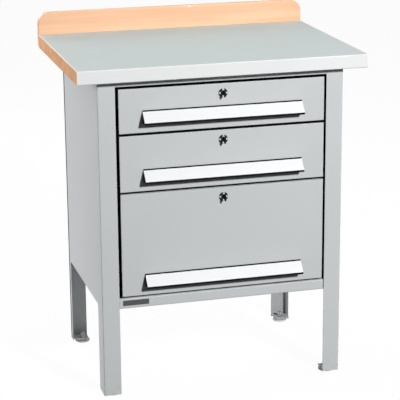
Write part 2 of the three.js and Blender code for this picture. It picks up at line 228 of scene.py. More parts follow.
def make_scuffs():
    """A mask of broken marks that fade out above the floor."""
    sockets = {"Vector": ORIGIN, "Reach": ("Float", 0.12), "Amount": ("Float", 0.4)}
    tree, given, result = new_group("scuffs", sockets, {"Mask": "Float"})
    height = axes_of(tree, given["Vector"])["Z"]
    falling = {"Value": height, "From Min": 0.0, "From Max": given["Reach"], "To Min": 1.0, "To Max": 0.0}
    fade = add_node(tree, "ShaderNodeMapRange", falling).outputs["Result"]
    broken = ramp(tree, noise(tree, given["Vector"], scale=90.0, detail=6.0), low=0.52, high=0.72)
    near_floor = maths(tree, "MULTIPLY", fade, broken)
    tree.links.new(maths(tree, "MULTIPLY", near_floor, given["Amount"]), result["Mask"])
    return tree


mottle, fine_skin, scuffs = make_mottle(), make_fine_skin(), make_scuffs()
print("surface effects", [group.name for group in (mottle, fine_skin, scuffs)])

# %% [markdown]
# ## Wood fibre
# Beech shows soft bands, fine fibre and short dark flecks along the board. Each is noise stretched along X by
# its own amount, so one group serves both the solid upstand and the multiplex core.

# %% Wood fibre


def make_fibre():
    """Wood along X: soft bands, fine fibre and the short dark flecks of beech."""
    sockets = {"Vector": ORIGIN, "Light": ("Color", (1, 1, 1, 1)),
               "Dark": ("Color", (0, 0, 0, 1)), "Flecks": ("Float", 0.5)}
    outputs = {"Color": "Color", "Height": "Float", "Roughness": "Float"}
    tree, given, result = new_group("fibre", sockets, outputs)

    def stretched(stretch, scale, detail):
        along = add_node(tree, "ShaderNodeMapping", {"Vector": given["Vector"], "Scale": stretch})
        return noise(tree, along.outputs["Vector"], scale, detail)

    bands = stretched((1.2, 26.0, 26.0), scale=1.6, detail=3.0)
    fibres = stretched((6.0, 220.0, 220.0), scale=2.0, detail=2.0)
    flecks = ramp(tree, stretched((55.0, 420.0, 420.0), scale=2.2, detail=1.0), low=0.62, high=0.72)
    banded = mix_colours(tree, ramp(tree, bands, low=0.3, high=0.7), given["Light"], given["Dark"])
    fleck_mask = maths(tree, "MULTIPLY", flecks, given["Flecks"])
    tree.links.new(mix_colours(tree, fleck_mask, banded, given["Dark"]), result["Color"])
    tree.links.new(fibres, result["Height"])
    roughness = ramp(tree, fibres, low=0.2, high=0.8, to_low=0.42, to_high=0.58)
    tree.links.new(roughness, result["Roughness"])
    return tree


fibre = make_fibre()
print("wood effect", fibre.name)

# %% [markdown]
# ## A mask for painted shade
# The gaps round the drawers look black, because hardly any light gets into them. Lamps alone left them grey,
# so a mask over a stretch of the depth paints that shade in as colour and lets a coat turn black there. It
# fades the sheen as well, or the painted black would still mirror the white room at a low angle. Two
# distances from a middle keep it to part of the width.

# %% A mask for painted shade
FAR = 1.0


def make_depth_mask():
    """A mask over a stretch of the depth and between two distances from a middle, and the sheen it leaves."""
    sockets = {"Vector": ORIGIN, "Start": ("Float", 0.0), "End": ("Float", FAR), "Soft": ("Float", 1.0 * mm),
               "Middle": ("Float", 0.0), "From": ("Float", -FAR), "To": ("Float", FAR),
               "Sheen": ("Float", 0.5)}
    outputs = {"Mask": "Float", "Clear": "Float", "Sheen": "Float"}
    tree, given, result = new_group("depth_mask", sockets, outputs)
    axes = axes_of(tree, given["Vector"])
    past_start = maths(tree, "SUBTRACT", axes["Y"], given["Start"])
    before_end = maths(tree, "SUBTRACT", given["End"], axes["Y"])
    inside = maths(tree, "MINIMUM", past_start, before_end)
    deep = maths(tree, "DIVIDE", inside, given["Soft"], use_clamp=True)
    sideways = maths(tree, "SUBTRACT", axes["X"], given["Middle"])
    from_middle = maths(tree, "ABSOLUTE", sideways)
    past_from = maths(tree, "GREATER_THAN", from_middle, given["From"])
    before_to = maths(tree, "LESS_THAN", from_middle, given["To"])
    mask = maths(tree, "MULTIPLY", deep, maths(tree, "MULTIPLY", past_from, before_to))
    clear = maths(tree, "SUBTRACT", 1.0, mask)
    tree.links.new(mask, result["Mask"])
    tree.links.new(clear, result["Clear"])
    tree.links.new(maths(tree, "MULTIPLY", clear, given["Sheen"]), result["Sheen"])
    return tree


depth_mask = make_depth_mask()
print("mask", depth_mask.name)

# %% [markdown]
# ## A mask for painted reflections on turned faces
# A face turned on a lathe has fine rings, which throw the light up, down and sideways and leave its diagonals
# dark. This mask paints that reflection in as colour. The product of the distances across and up from the
# centre is large on the diagonals alone.

# %% A mask for painted reflections on turned faces


def make_painted_turned_reflection():
    """The dark diagonals that a face turned on a lathe shows round its centre, as a mask for a painted
    reflection.
    """
    sockets = {"Vector": ORIGIN, "Centre": ORIGIN, "Radius": ("Float", 10.0 * mm)}
    tree, given, result = new_group("painted_turned_reflection", sockets, {"Mask": "Float"})
    ends = {0: given["Vector"], 1: given["Centre"]}
    offset = add_node(tree, "ShaderNodeVectorMath", ends, operation="SUBTRACT").outputs["Vector"]
    axes = axes_of(tree, offset)
    across = maths(tree, "DIVIDE", maths(tree, "ABSOLUTE", axes["X"]), given["Radius"])
    up = maths(tree, "DIVIDE", maths(tree, "ABSOLUTE", axes["Z"]), given["Radius"])
    diagonal = maths(tree, "MULTIPLY", across, up)
    tree.links.new(ramp(tree, diagonal, low=0.14, high=0.34), result["Mask"])
    return tree


painted_turned_reflection = make_painted_turned_reflection()
print("mask", painted_turned_reflection.name)

# %% [markdown]
# ## Powder coat and plastic
# Each finish starts from a bare material with a Principled shader and Object coordinates. The pieces all sit
# at the origin with their place in their mesh, so Object coordinates are real positions in metres and a
# pattern keeps its true scale on every piece. One function makes every coat and plastic of the bench.

# %% Powder coat and plastic
SHEEN = 0.2
DULL = 0.08
EVERYWHERE = (-FAR, FAR)


def new_finish(name):
    """An empty material: its tree, its Principled shader and its Object coordinates."""
    material = bpy.data.materials.new(name)
    material.use_nodes = True
    tree = material.node_tree
    shader = tree.nodes["Principled BSDF"]
    place = add_node(tree, "ShaderNodeTexCoord").outputs["Object"]
    return material, tree, shader, place


def bump_into(tree, shader, height, distance, strength=0.5):
    """Feeds a height into the shader's normal."""
    bump = add_node(tree, "ShaderNodeBump", {"Height": height, "Distance": distance, "Strength": strength})
    tree.links.new(bump.outputs["Normal"], shader.inputs["Normal"])


def coated(name, colour, tone=0.05, skin=700.0, rough=0.42, depth=0.06 * mm, sheen=SHEEN, scuff=0.0,
           scuff_colour=None, dark=None, reach=EVERYWHERE, middle=0.0):
    """Powder coat or moulded plastic: a toned colour with a fine skin, scuffed or with painted shade in part
    if asked.
    """
    material, tree, shader, place = new_finish(name)
    toned = use_group(tree, mottle, {"Vector": place, "Color": colour, "Scale": 5.0, "Amount": tone})["Color"]
    # Painted shade: inside the masked stretch the coat turns to the dark colour and loses its sheen.
    if dark:
        start, end, dark_colour = dark
        stretch = {"Vector": place, "Start": start, "End": end, "Middle": middle,
                   "From": reach[0], "To": reach[1], "Sheen": sheen}
        deep = use_group(tree, depth_mask, stretch)
        toned = mix_colours(tree, deep["Mask"], toned, dark_colour)
        tree.links.new(deep["Sheen"], shader.inputs["Specular IOR Level"])
    else:
        shader.inputs["Specular IOR Level"].default_value = sheen
    if scuff:
        mask = use_group(tree, scuffs, {"Vector": place, "Reach": 0.14, "Amount": scuff})["Mask"]
        toned = mix_colours(tree, mask, toned, scuff_colour)
    surface = use_group(tree, fine_skin, {"Vector": place, "Scale": skin, "Roughness": rough, "Spread": 0.1})
    tree.links.new(toned, shader.inputs["Base Color"])
    tree.links.new(surface["Roughness"], shader.inputs["Roughness"])
    bump_into(tree, shader, surface["Height"], depth)
    return material


# %% [markdown]
# ## The coats of the cabinet
# The frames, rails and fronts share one light grey. What differs is where painted shade turns each dark. The
# folded returns of the fronts and the lip of the top rail face the gaps, so painted shade makes them black.
# The left frame has painted shade along its rear edge, the inner faces of the rear right leg lie in shade and
# are painted darker, and painted shade marks the joint where the bottom rail meets the right leg. The gap
# above the lowest drawer is lighter than the others, so that front has painted shade at its sides only.

# %% The coats of the cabinet
GREY = chart(202, 205, 206)
SCUFF_GREY = chart(150, 151, 152)
# Painted shade: black for the gaps round the drawers.
GAP_SHADE_BLACK = chart(10, 10, 11)
# Painted shade: grey for the left rear edge and the joint at the bottom rail.
EDGE_SHADE_GREY = chart(88, 90, 91)
# Painted shade: lighter grey for the inner faces of the rear right leg.
SHADE_GREY = chart(165, 167, 168)
FACE_SKIN = 1.2 * mm
SIDE_RETURN = 2.0 * mm
RAIL_LIP = 2.0 * mm
SHEET_SKIN = 0.5 * mm
FLANGE_SKIN = 0.4 * mm
REAR_EDGE = 16.0 * mm
LEG_INSIDE = 47.0 * mm
JOINT_SHADE_WIDTH = 2.4 * mm

front_low, front_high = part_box("drawer_1_front")
side_low, side_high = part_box("left_side_frame")
rail_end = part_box("right_side_frame")[0][0]
side_rear = side_high[1]
outer_face = -side_low[0] - SHEET_SKIN
# Painted shade: a front turns black from just behind its face backwards, on its returns in the gaps.
returns = (front_low[1] + FACE_SKIN, FAR, GAP_SHADE_BLACK)
scuffed = {"scuff": 0.25, "scuff_colour": SCUFF_GREY}

grey_paint = coated("grey_powder_coat", GREY, **scuffed)
front_paint = coated("drawer_front_coat_gap_shade", GREY, sheen=DULL, dark=returns)
# Painted shade on the lowest front: black on its side returns only.
low_front_paint = coated("low_front_coat_side_shade", GREY, sheen=DULL, dark=returns,
                         reach=(front_high[0] - SIDE_RETURN, FAR))
# Painted shade: a dark strip 16 mm wide along the rear edge of the left frame's outer face.
left_paint = coated("left_frame_coat_edge_shade", GREY, **scuffed, dark=(side_rear - REAR_EDGE, FAR, EDGE_SHADE_GREY),
                    reach=(outer_face, FAR))
# Painted shade: the inner faces of the rear right leg are darker.
right_paint = coated("right_frame_coat_leg_shade", GREY, **scuffed,
                     dark=(side_rear - LEG_INSIDE, side_rear - FLANGE_SKIN, SHADE_GREY),
                     reach=(-FAR, outer_face))
# Painted shade: a dark line along the joint where the bottom rail meets the right leg.
pan_paint = coated("bottom_pan_coat_joint_shade", GREY, dark=(-FAR, FAR, EDGE_SHADE_GREY), reach=(-FAR, JOINT_SHADE_WIDTH),
                   middle=rail_end)
# Painted shade: the top rail turns black behind its lip, where it faces the gap.
rail_paint = coated("top_rail_coat_lip_shade", GREY, dark=(side_low[1] + RAIL_LIP, FAR, GAP_SHADE_BLACK))
print("grey coats turn dark behind", round(returns[0], 4), "and from", round(side_rear - REAR_EDGE, 4))

# %% [markdown]
# ## Inner coats and plastics
# The trays and liners wear a darker, duller coat. Where the eye can reach them through a gap, painted shade
# makes them black.
# The grips are dull black plastic, the label strips are matt white, and the dark plate carries nothing.

# %% Inner coats and plastics
INNER_GREY = chart(186, 189, 191)
GRIP_BLACK = chart(12, 12, 13)
LABEL_WHITE = chart(242, 243, 244)
PLATE_GREY = chart(84, 86, 88)
GAP_DEPTH = 30.0 * mm
TRAY_SKIN = 0.8 * mm

gap_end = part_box("drawer_1_left_rail")[0][1] + GAP_DEPTH
tray_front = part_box("drawer_1_tray")[0][1] + TRAY_SKIN
inner_paint = coated("inner_powder_coat", INNER_GREY, rough=0.5)
# Painted shade: liners and trays turn black as far as a gap lets the eye in.
gap_paint = coated("liner_coat_gap_shade", INNER_GREY, rough=0.5, dark=(-FAR, gap_end, GAP_SHADE_BLACK))
tray_paint = coated("tray_coat_gap_shade", INNER_GREY, rough=0.5, dark=(-FAR, tray_front, GAP_SHADE_BLACK))
# Painted shade: the keeper rails behind the gaps are black all over.
painted_gap_shade = coated("keeper_gap_shade", GAP_SHADE_BLACK, tone=0.2, rough=0.6, sheen=DULL)
black_grip = coated("black_grip_plastic", GRIP_BLACK, tone=0.2, skin=1500.0, rough=0.6, depth=0.1 * mm,
                    sheen=DULL)
white_label = coated("white_label_plastic", LABEL_WHITE, tone=0.03, skin=300.0, rough=0.65, depth=0.02 * mm)
dark_plate = coated("bare_dark_plate", PLATE_GREY, tone=0.12, skin=1200.0, rough=0.4)
print("gaps are black to", round(gap_end, 4))

# %% [markdown]
# ## The worktop sheet
# The cover is one grey-green sheet, folded down over the front edge. The fold catches the light and looks
# paler, and so does the cut at each end: both are painted highlights. Smooth steps along Y and X pick the
# three colours on one material.

# %% The worktop sheet
COVER_TOP = chart(202, 212, 211)
# Painted highlights: the paler fold and the cream cut ends stand in for light catching them.
COVER_FOLD_HIGHLIGHT = chart(232, 234, 234)
COVER_CUT_HIGHLIGHT = chart(246, 240, 226)
FOLD_START = 1.0 * mm
FOLD_END = 4.0 * mm
COVER_RIM = 3.0 * mm
RIM_SOFT = 1.0 * mm


def cover_finish():
    """The worktop sheet: grey-green on top, with painted highlights on the folded front and along its cut
    ends.
    """
    material, tree, shader, place = new_finish("worktop_sheet_highlights")
    low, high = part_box("worktop_cover")
    axes = axes_of(tree, place)
    rim_start = high[0] - COVER_RIM
    on_top = ramp(tree, axes["Y"], low[1] + FOLD_START, low[1] + FOLD_END)
    cut_highlight = ramp(tree, maths(tree, "ABSOLUTE", axes["X"]), rim_start, rim_start + RIM_SOFT)
    folded = mix_colours(tree, on_top, COVER_FOLD_HIGHLIGHT, COVER_TOP)
    colour = mix_colours(tree, cut_highlight, folded, COVER_CUT_HIGHLIGHT)
    toned = use_group(tree, mottle, {"Vector": place, "Color": colour, "Scale": 9.0, "Amount": 0.05})["Color"]
    skin = {"Vector": place, "Scale": 900.0, "Roughness": 0.5, "Spread": 0.12}
    surface = use_group(tree, fine_skin, skin)
    tree.links.new(toned, shader.inputs["Base Color"])
    tree.links.new(surface["Roughness"], shader.inputs["Roughness"])
    bump_into(tree, shader, surface["Height"], 0.05 * mm)
    shader.inputs["Specular IOR Level"].default_value = DULL
    return material


cover_sheet = cover_finish()
print("cover", cover_sheet.name)

# %% [markdown]
# ## Beech
# The upstand is solid beech, lacquered, with its grain along the board. The worktop core is beech multiplex:
# thin sheets glued with their grain crossing, which shows as stripes along every edge. Height in steps of one
# sheet, folded back and forth, draws the stripes, and the underside carries a grey backing.

# %% Beech
BEECH_LIGHT = chart(247, 203, 166)
BEECH_DARK = chart(239, 185, 145)
PLY_LIGHT = chart(232, 168, 100)
PLY_DARK = chart(204, 132, 70)
BACKING_GREY = chart(112, 114, 115)
PLY_THICKNESS = 2.2 * mm
BACKING_START = 0.3 * mm
BACKING_END = 0.8 * mm
FIBRE_DEPTH = 0.1 * mm
FIBRE_STRENGTH = 0.35


def beech_finish():
    """Lacquered solid beech with its grain along the board."""
    material, tree, shader, place = new_finish("beech")
    board = {"Vector": place, "Light": BEECH_LIGHT, "Dark": BEECH_DARK, "Flecks": 0.45}
    wood = use_group(tree, fibre, board)
    tree.links.new(wood["Color"], shader.inputs["Base Color"])
    tree.links.new(wood["Roughness"], shader.inputs["Roughness"])
    bump_into(tree, shader, wood["Height"], FIBRE_DEPTH, FIBRE_STRENGTH)
    shader.inputs["Coat Weight"].default_value = 0.2
    return material


def beech_ply_finish():
    """Beech multiplex: striped along its edges, with a grey backing below."""
    material, tree, shader, place = new_finish("beech_multiplex")
    height = axes_of(tree, place)["Z"]
    layer = maths(tree, "DIVIDE", height, PLY_THICKNESS)
    wave = maths(tree, "PINGPONG", layer, 1.0)
    wood = use_group(tree, fibre, {"Vector": place, "Light": PLY_LIGHT, "Dark": PLY_DARK, "Flecks": 0.3})
    stripe = ramp(tree, wave, low=0.42, high=0.58, to_low=0.0, to_high=0.45)
    striped = mix_colours(tree, stripe, wood["Color"], PLY_DARK)
    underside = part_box("worktop_core")[0][2]
    backing = ramp(tree, height, underside + BACKING_START, underside + BACKING_END, to_low=1.0, to_high=0.0)
    tree.links.new(mix_colours(tree, backing, striped, BACKING_GREY), shader.inputs["Base Color"])
    tree.links.new(wood["Roughness"], shader.inputs["Roughness"])
    bump_into(tree, shader, wood["Height"], FIBRE_DEPTH, FIBRE_STRENGTH)
    return material


beech, beech_ply = beech_finish(), beech_ply_finish()
print("woods", beech.name, beech_ply.name)

# %% [markdown]
# ## Metals
# The slides are zinc-plated steel that was drawn out lengthways, so noise stretched along Y gives its
# streaks. The locks are nickel with a painted reflection of a turned face, and their plugs are dark. Painted
# shade makes a slide black as far as a drawer gap lets the eye in: there it is neither metallic nor shiny.

# %% Metals
ZINC = chart(178, 183, 187)
NICKEL = chart(176, 178, 180)
PLUG_DARK = chart(52, 53, 55)
# Painted reflection: the dark diagonals of a turned lock face.
TURNED_REFLECTION_DARK = chart(34, 35, 36)
STEM_GREY = chart(150, 152, 154)
DRAWN_ALONG_Y = (60.0, 2.0, 60.0)
DRAWN_ALONG_Z = (40.0, 40.0, 4.0)
EVEN_GRAIN = (40.0, 40.0, 40.0)
ZINC_ROUGH = 0.36
LOCK_ROUGH = 0.55
STEM_ROUGH = 0.4
LOCK_RADIUS = 9.0 * mm


def plated(name, colour, grain, rough, dark_to=None, centre=None):
    """Plated steel: streaks drawn out along one axis, with painted shade in front or a painted reflection
    round a centre if asked.
    """
    material, tree, shader, place = new_finish(name)
    drawn = add_node(tree, "ShaderNodeMapping", {"Vector": place, "Scale": grain})
    streak = noise(tree, drawn.outputs["Vector"], scale=8.0, detail=3.0)
    toned = use_group(tree, mottle, {"Vector": place, "Color": colour, "Scale": 30.0, "Amount": 0.2})["Color"]
    if centre:
        # Painted reflection: dark diagonals round the centre of a turned face.
        face = use_group(tree, painted_turned_reflection, {"Vector": place, "Centre": centre, "Radius": LOCK_RADIUS})
        toned = mix_colours(tree, face["Mask"], toned, TURNED_REFLECTION_DARK)
    # Painted shade: black, not metallic and without sheen where a gap lets the eye in.
    if dark_to:
        stretch = {"Vector": place, "Start": -FAR, "End": dark_to, "Sheen": SHEEN}
        deep = use_group(tree, depth_mask, stretch)
        toned = mix_colours(tree, deep["Mask"], toned, GAP_SHADE_BLACK)
        tree.links.new(deep["Clear"], shader.inputs["Metallic"])
        tree.links.new(deep["Sheen"], shader.inputs["Specular IOR Level"])
    else:
        shader.inputs["Metallic"].default_value = 1.0
    tree.links.new(toned, shader.inputs["Base Color"])
    roughness = ramp(tree, streak, low=0.25, high=0.75, to_low=rough - 0.08, to_high=rough + 0.1)
    tree.links.new(roughness, shader.inputs["Roughness"])
    bump_into(tree, shader, streak, 0.03 * mm, strength=0.3)
    return material


def lock_finish(drawer):
    """The nickel of a drawer's lock, with a painted reflection of a turned face round the middle of that
    lock.
    """
    low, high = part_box(f"{drawer}_lock_body")
    middle = tuple((first + last) / 2 for first, last in zip(low, high))
    return plated(f"{drawer}_lock_nickel", NICKEL, EVEN_GRAIN, LOCK_ROUGH, centre=middle)


zinc_steel = plated("zinc_plated_steel", ZINC, DRAWN_ALONG_Y, ZINC_ROUGH)
# Painted shade: the slides turn black as far as a drawer gap lets the eye in.
slide_steel_gap_shade = plated("slide_steel_gap_shade", ZINC, DRAWN_ALONG_Y, ZINC_ROUGH, dark_to=gap_end)
lock_metal = plated("lock_nickel", NICKEL, EVEN_GRAIN, LOCK_ROUGH)
plug_metal = plated("dark_plug_metal", PLUG_DARK, EVEN_GRAIN, LOCK_ROUGH)
stem_steel = plated("stem_steel", STEM_GREY, DRAWN_ALONG_Z, STEM_ROUGH)
print("metals", [metal.name for metal in (zinc_steel, slide_steel_gap_shade, lock_metal, plug_metal, stem_steel)])

# %% [markdown]
# ## Feet
# A levelling foot is one solid here, but two materials in life: a grey plastic disc with a steel stem in it.
# A step in height splits them, and the same step makes the stem metallic.

# %% Feet
DISC_GREY = chart(206, 208, 209)
DISC_SCUFF = chart(150, 150, 148)
STEM_START = 6.0 * mm
STEM_SOFT = 0.5 * mm


def foot_finish():
    """The foot: a grey plastic disc below, a steel stem above it."""
    material, tree, shader, place = new_finish("levelling_foot")
    height = axes_of(tree, place)["Z"]
    stem = ramp(tree, height, STEM_START, STEM_START + STEM_SOFT)
    marks = use_group(tree, scuffs, {"Vector": place, "Reach": 0.03, "Amount": 0.7})["Mask"]
    disc = mix_colours(tree, marks, DISC_GREY, DISC_SCUFF)
    skin = use_group(tree, fine_skin, {"Vector": place, "Scale": 900.0, "Roughness": 0.6, "Spread": 0.1})
    tree.links.new(mix_colours(tree, stem, disc, STEM_GREY), shader.inputs["Base Color"])
    tree.links.new(stem, shader.inputs["Metallic"])
    tree.links.new(skin["Roughness"], shader.inputs["Roughness"])
    bump_into(tree, shader, skin["Height"], 0.06 * mm)
    return material


foot_plastic = foot_finish()
print("feet", foot_plastic.name)

# %% [markdown]
# ## Which piece wears which finish
# Most pieces wear the finish of their material slot. Those with painted shade at a gap or an edge, or a
# painted reflection round a lock, wear one of their own, so these are listed by the name of the piece and
# looked up first.

# %% Which piece wears which finish
finishes = {
    "grey_paint": grey_paint, "inner_paint": inner_paint, "cover_sheet": cover_sheet, "beech": beech,
    "beech_core": beech_ply, "black_grip": black_grip, "white_label": white_label, "zinc_steel": zinc_steel,
    "chrome": lock_metal, "dark_plate": dark_plate, "foot_plastic": foot_plastic,
}
own_finishes = {
    "left_side_frame": left_paint, "right_side_frame": right_paint, "top_rail": rail_paint,
    "bottom_pan": pan_paint, "left_liner": gap_paint, "right_liner": gap_paint,
    "keeper_rail_1": painted_gap_shade, "keeper_rail_2": painted_gap_shade,
}
for drawer in DRAWERS:
    own_finishes[f"{drawer}_front"] = front_paint
    own_finishes[f"{drawer}_tray"] = tray_paint
    own_finishes[f"{drawer}_lock_body"] = lock_finish(drawer)
    own_finishes[f"{drawer}_lock_plug"] = plug_metal
    own_finishes[f"{drawer}_key"] = black_grip
    for hand in HANDS:
        for member in ("rail", "slide", "runner"):
            own_finishes[f"{drawer}_{hand}_{member}"] = slide_steel_gap_shade
own_finishes["drawer_3_front"] = low_front_paint
print("finishes by slot", len(finishes), "by piece", len(own_finishes))

# %% [markdown]
# ## Eased edges
# A folded sheet, a moulded grip and a sanded board all have edges that catch a thin line of light. The
# frame's solids are exact but sharp. Each piece below is a copy of its solid with the triangles merged to
# flat faces and a narrow bevel along every real edge. The bend arcs stay smooth, because only edges over
# forty degrees are bevelled. Normals weighted by face area keep the broad faces flat up to their bevels.

# %% Eased copies of the solids
# The width of the bevel for each material slot, in millimetres.
EASE = {"grey_paint": 0.5, "inner_paint": 0.35, "cover_sheet": 0.5, "beech": 2.5, "beech_core": 0.6,
        "black_grip": 0.6, "white_label": 0.35, "zinc_steel": 0.25, "chrome": 0.45, "dark_plate": 0.3,
        "foot_plastic": 0.7}
SHARP = math.radians(40)
FLAT = math.radians(0.5)
SAME_POINT = 0.002 * mm
BEVEL_STEPS = 2
BROAD_FACES = 100


def plain_mesh(holder):
    """Turns what an object's modifiers make into its own mesh, and removes the modifiers."""
    graph = bpy.context.evaluated_depsgraph_get()
    mesh = bpy.data.meshes.new_from_object(holder.evaluated_get(graph))
    holder.modifiers.clear()
    holder.data = mesh
    return mesh


def place_piece(piece, body):
    """Puts a finished piece on its body."""
    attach(piece, body)


def flat_copy(node, name):
    """A smooth-shaded copy of a node's mesh, with its triangles merged to flat faces."""
    mesh = bpy.data.meshes.new(name)
    shape = bmesh.new()
    shape.from_mesh(frame["nodes"][node].data)
    bmesh.ops.remove_doubles(shape, verts=shape.verts, dist=SAME_POINT)
    bmesh.ops.dissolve_limit(shape, angle_limit=FLAT, verts=shape.verts, edges=shape.edges)
    shape.to_mesh(mesh)
    shape.free()
    mesh.polygons.foreach_set("use_smooth", [True] * len(mesh.polygons))
    return mesh


def eased(node):
    """A copy of a node's solid with narrow bevels, which stands for the node."""
    slot = node_slot[node]
    name = f"{node}_eased"
    piece = bpy.data.objects.new(name, flat_copy(node, name))
    bpy.context.scene.collection.objects.link(piece)
    bevel = piece.modifiers.new("eased edges", "BEVEL")
    bevel.width = EASE[slot] * mm
    bevel.segments = BEVEL_STEPS
    bevel.limit_method = "ANGLE"
    bevel.angle_limit = SHARP
    weighted = piece.modifiers.new("flat broad faces", "WEIGHTED_NORMAL")
    weighted.mode = "FACE_AREA"
    weighted.weight = BROAD_FACES
    smooth = plain_mesh(piece)
    smooth.materials.clear()
    smooth.materials.append(own_finishes.get(node, finishes[slot]))
    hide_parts(node)
    place_piece(piece, node_body[node])
    return piece


eased_pieces = [eased(node) for node in sorted(node_body)]
print("eased pieces", len(eased_pieces), "faces", sum(len(piece.data.polygons) for piece in eased_pieces))

# %% [markdown]
# ## Small repeated parts
# Screws, rivets, threads and rolled edges repeat or follow a path, so each is a small Geometry Nodes tree
# with named inputs. The tree ends in Realize Instances and Set Material, and its result becomes a plain mesh.

# %% Geometry Nodes helpers


def new_tree(name, sockets):
    """A tree with named inputs: the tree, its inner input and output, and the inputs' identifiers."""
    tree = bpy.data.node_groups.new(name, "GeometryNodeTree")
    tree.interface.new_socket(name="Geometry", in_out="OUTPUT", socket_type="NodeSocketGeometry")
    keys = {}
    for label, kind in sockets.items():
        socket = tree.interface.new_socket(name=label, in_out="INPUT", socket_type=f"NodeSocket{kind}")
        keys[label] = socket.identifier
    given = tree.nodes.new("NodeGroupInput").outputs
    result = tree.nodes.new("NodeGroupOutput").inputs
    return tree, given, result, keys


def finish_tree(tree, geometry, material, result):
    """Realizes the instances and sets the material, as the last two steps of a tree."""
    real = add_node(tree, "GeometryNodeRealizeInstances", {"Geometry": geometry})
    dressed = add_node(tree, "GeometryNodeSetMaterial",
                       {"Geometry": real.outputs["Geometry"], "Material": material})
    tree.links.new(dressed.outputs["Geometry"], result["Geometry"])


def grow(name, tree, keys, values, body):
    """Runs a tree with its values and puts the plain mesh on a body."""
    piece = bpy.data.objects.new(name, bpy.data.meshes.new(name))
    bpy.context.scene.collection.objects.link(piece)
    modifier = piece.modifiers.new("nodes", "NODES")
    modifier.node_group = tree
    for label, value in values.items():
        modifier[keys[label]] = value
    mesh = plain_mesh(piece)
    mesh.polygons.foreach_set("use_smooth", [True] * len(mesh.polygons))
    mesh.set_sharp_from_angle(angle=SHARP)
    place_piece(piece, body)
    print(name, len(mesh.polygons), "faces")


# %% [markdown]
# ## Screws and rivets
# Five countersunk screws hold the upstand to the worktop, and a row of rivets holds the back panel to each
# rear flange. One head is turned from a short profile, like a part on a lathe, and copied along a line. A
# head could be modelled in place each time, but one pattern and a tree keep all of them alike.

# %% A turned head and a tree for rows
HEAD_STEPS = 20


def turned(name, profile):
    """A mesh turned round +Z from (radius, height) points that start and end on the axis."""
    shape = bmesh.new()
    rings = []
    for radius, height in profile:
        count = HEAD_STEPS if radius > 0 else 1
        angles = [2 * math.pi * step / HEAD_STEPS for step in range(count)]
        rings.append([shape.verts.new((radius * math.cos(a), radius * math.sin(a), height)) for a in angles])
    for lower, upper in zip(rings, rings[1:]):
        for step in range(HEAD_STEPS):
            corners = [lower[step % len(lower)], lower[(step + 1) % len(lower)],
                       upper[(step + 1) % len(upper)], upper[step % len(upper)]]
            shape.faces.new(list(dict.fromkeys(corners)))
    bmesh.ops.recalc_face_normals(shape, faces=shape.faces)
    mesh = bpy.data.meshes.new(name)
    shape.to_mesh(mesh)
    shape.free()
    return mesh


def head_pattern(name, profile):
    """A head that faces the rear, kept only while its rows are made."""
    mesh = turned(name, [(radius * mm, height * mm) for radius, height in profile])
    mesh.transform(Matrix.Rotation(math.radians(-90), 4, "X"))
    pattern = bpy.data.objects.new(name, mesh)
    bpy.context.scene.collection.objects.link(pattern)
    return pattern


def make_row_tree():
    """One head copied along a line."""
    sockets = {"Head": "Object", "Count": "Int", "Start": "Vector", "Step": "Vector", "Finish": "Material"}
    tree, given, result, keys = new_tree("row_of_heads", sockets)
    line = add_node(tree, "GeometryNodeMeshLine",
                    {"Count": given["Count"], "Start Location": given["Start"], "Offset": given["Step"]})
    head = add_node(tree, "GeometryNodeObjectInfo", {"Object": given["Head"]})
    heads = add_node(tree, "GeometryNodeInstanceOnPoints",
                     {"Points": line.outputs["Mesh"], "Instance": head.outputs["Geometry"]})
    finish_tree(tree, heads.outputs["Instances"], given["Finish"], result)
    return tree, keys


row_tree, row_keys = make_row_tree()
print("tree", row_tree.name)

# %% [markdown]
# ## Where the rows sit
# The boxes of the upstand, the worktop, the back panel and the side frames give the places, so the rows stay
# evenly spaced on pieces of another size. The heads themselves are only patterns, so they are removed when
# their rows are made.

# %% Rows of screws and rivets
# Both profiles are (radius, height) points in millimetres above the face that the head sits on.
SCREW_PROFILE = [(0, -2.0), (2.0, -2.0), (4.5, -0.2), (4.5, 0.05), (2.2, 0.05), (1.8, -1.2), (0, -1.2)]
RIVET_PROFILE = [(0, -1.0), (2.0, -1.0), (2.0, -0.05), (4.0, -0.05), (3.8, 0.5), (2.6, 1.2), (1.0, 1.4),
                 (0, 1.4)]
UPSTAND_SCREWS = 5
RIVETS_PER_FLANGE = 6

screw = head_pattern("screw_pattern", SCREW_PROFILE)
rivet = head_pattern("rivet_pattern", RIVET_PROFILE)

board_low, board_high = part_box("upstand")
top_low, top_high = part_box("worktop_core")
screw_step = (board_high[0] - board_low[0]) / UPSTAND_SCREWS
screw_height = (top_low[2] + top_high[2]) / 2
grow("upstand_screws", row_tree, row_keys, {
    "Head": screw, "Count": UPSTAND_SCREWS, "Finish": zinc_steel,
    "Start": (board_low[0] + screw_step / 2, board_high[1], screw_height), "Step": (screw_step, 0.0, 0.0),
}, "bench")

back_low, back_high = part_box("back_panel")
rivet_step = (back_high[2] - back_low[2]) / RIVETS_PER_FLANGE
for hand in HANDS:
    frame_low, frame_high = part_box(f"{hand}_side_frame")
    middle = (frame_low[0] + frame_high[0]) / 2
    grow(f"{hand}_flange_rivets", row_tree, row_keys, {
        "Head": rivet, "Count": RIVETS_PER_FLANGE, "Finish": grey_paint,
        "Start": (middle, frame_high[1], back_low[2] + rivet_step / 2), "Step": (0.0, 0.0, rivet_step),
    }, "bench")
for pattern in (screw, rivet):
    bpy.data.objects.remove(pattern)

# %% [markdown]
# ## Threads on the feet
# A thread is a ridge wound round the stem. A spiral curve with a thin round section gives that ridge without
# cutting into the stem, and the pitch sets how many turns fit on it.

# %% Threads on the stems of the feet
THREAD_PITCH = 1.5 * mm
THREAD_RADIUS = 4.9 * mm
THREAD_WIRE = 0.35 * mm


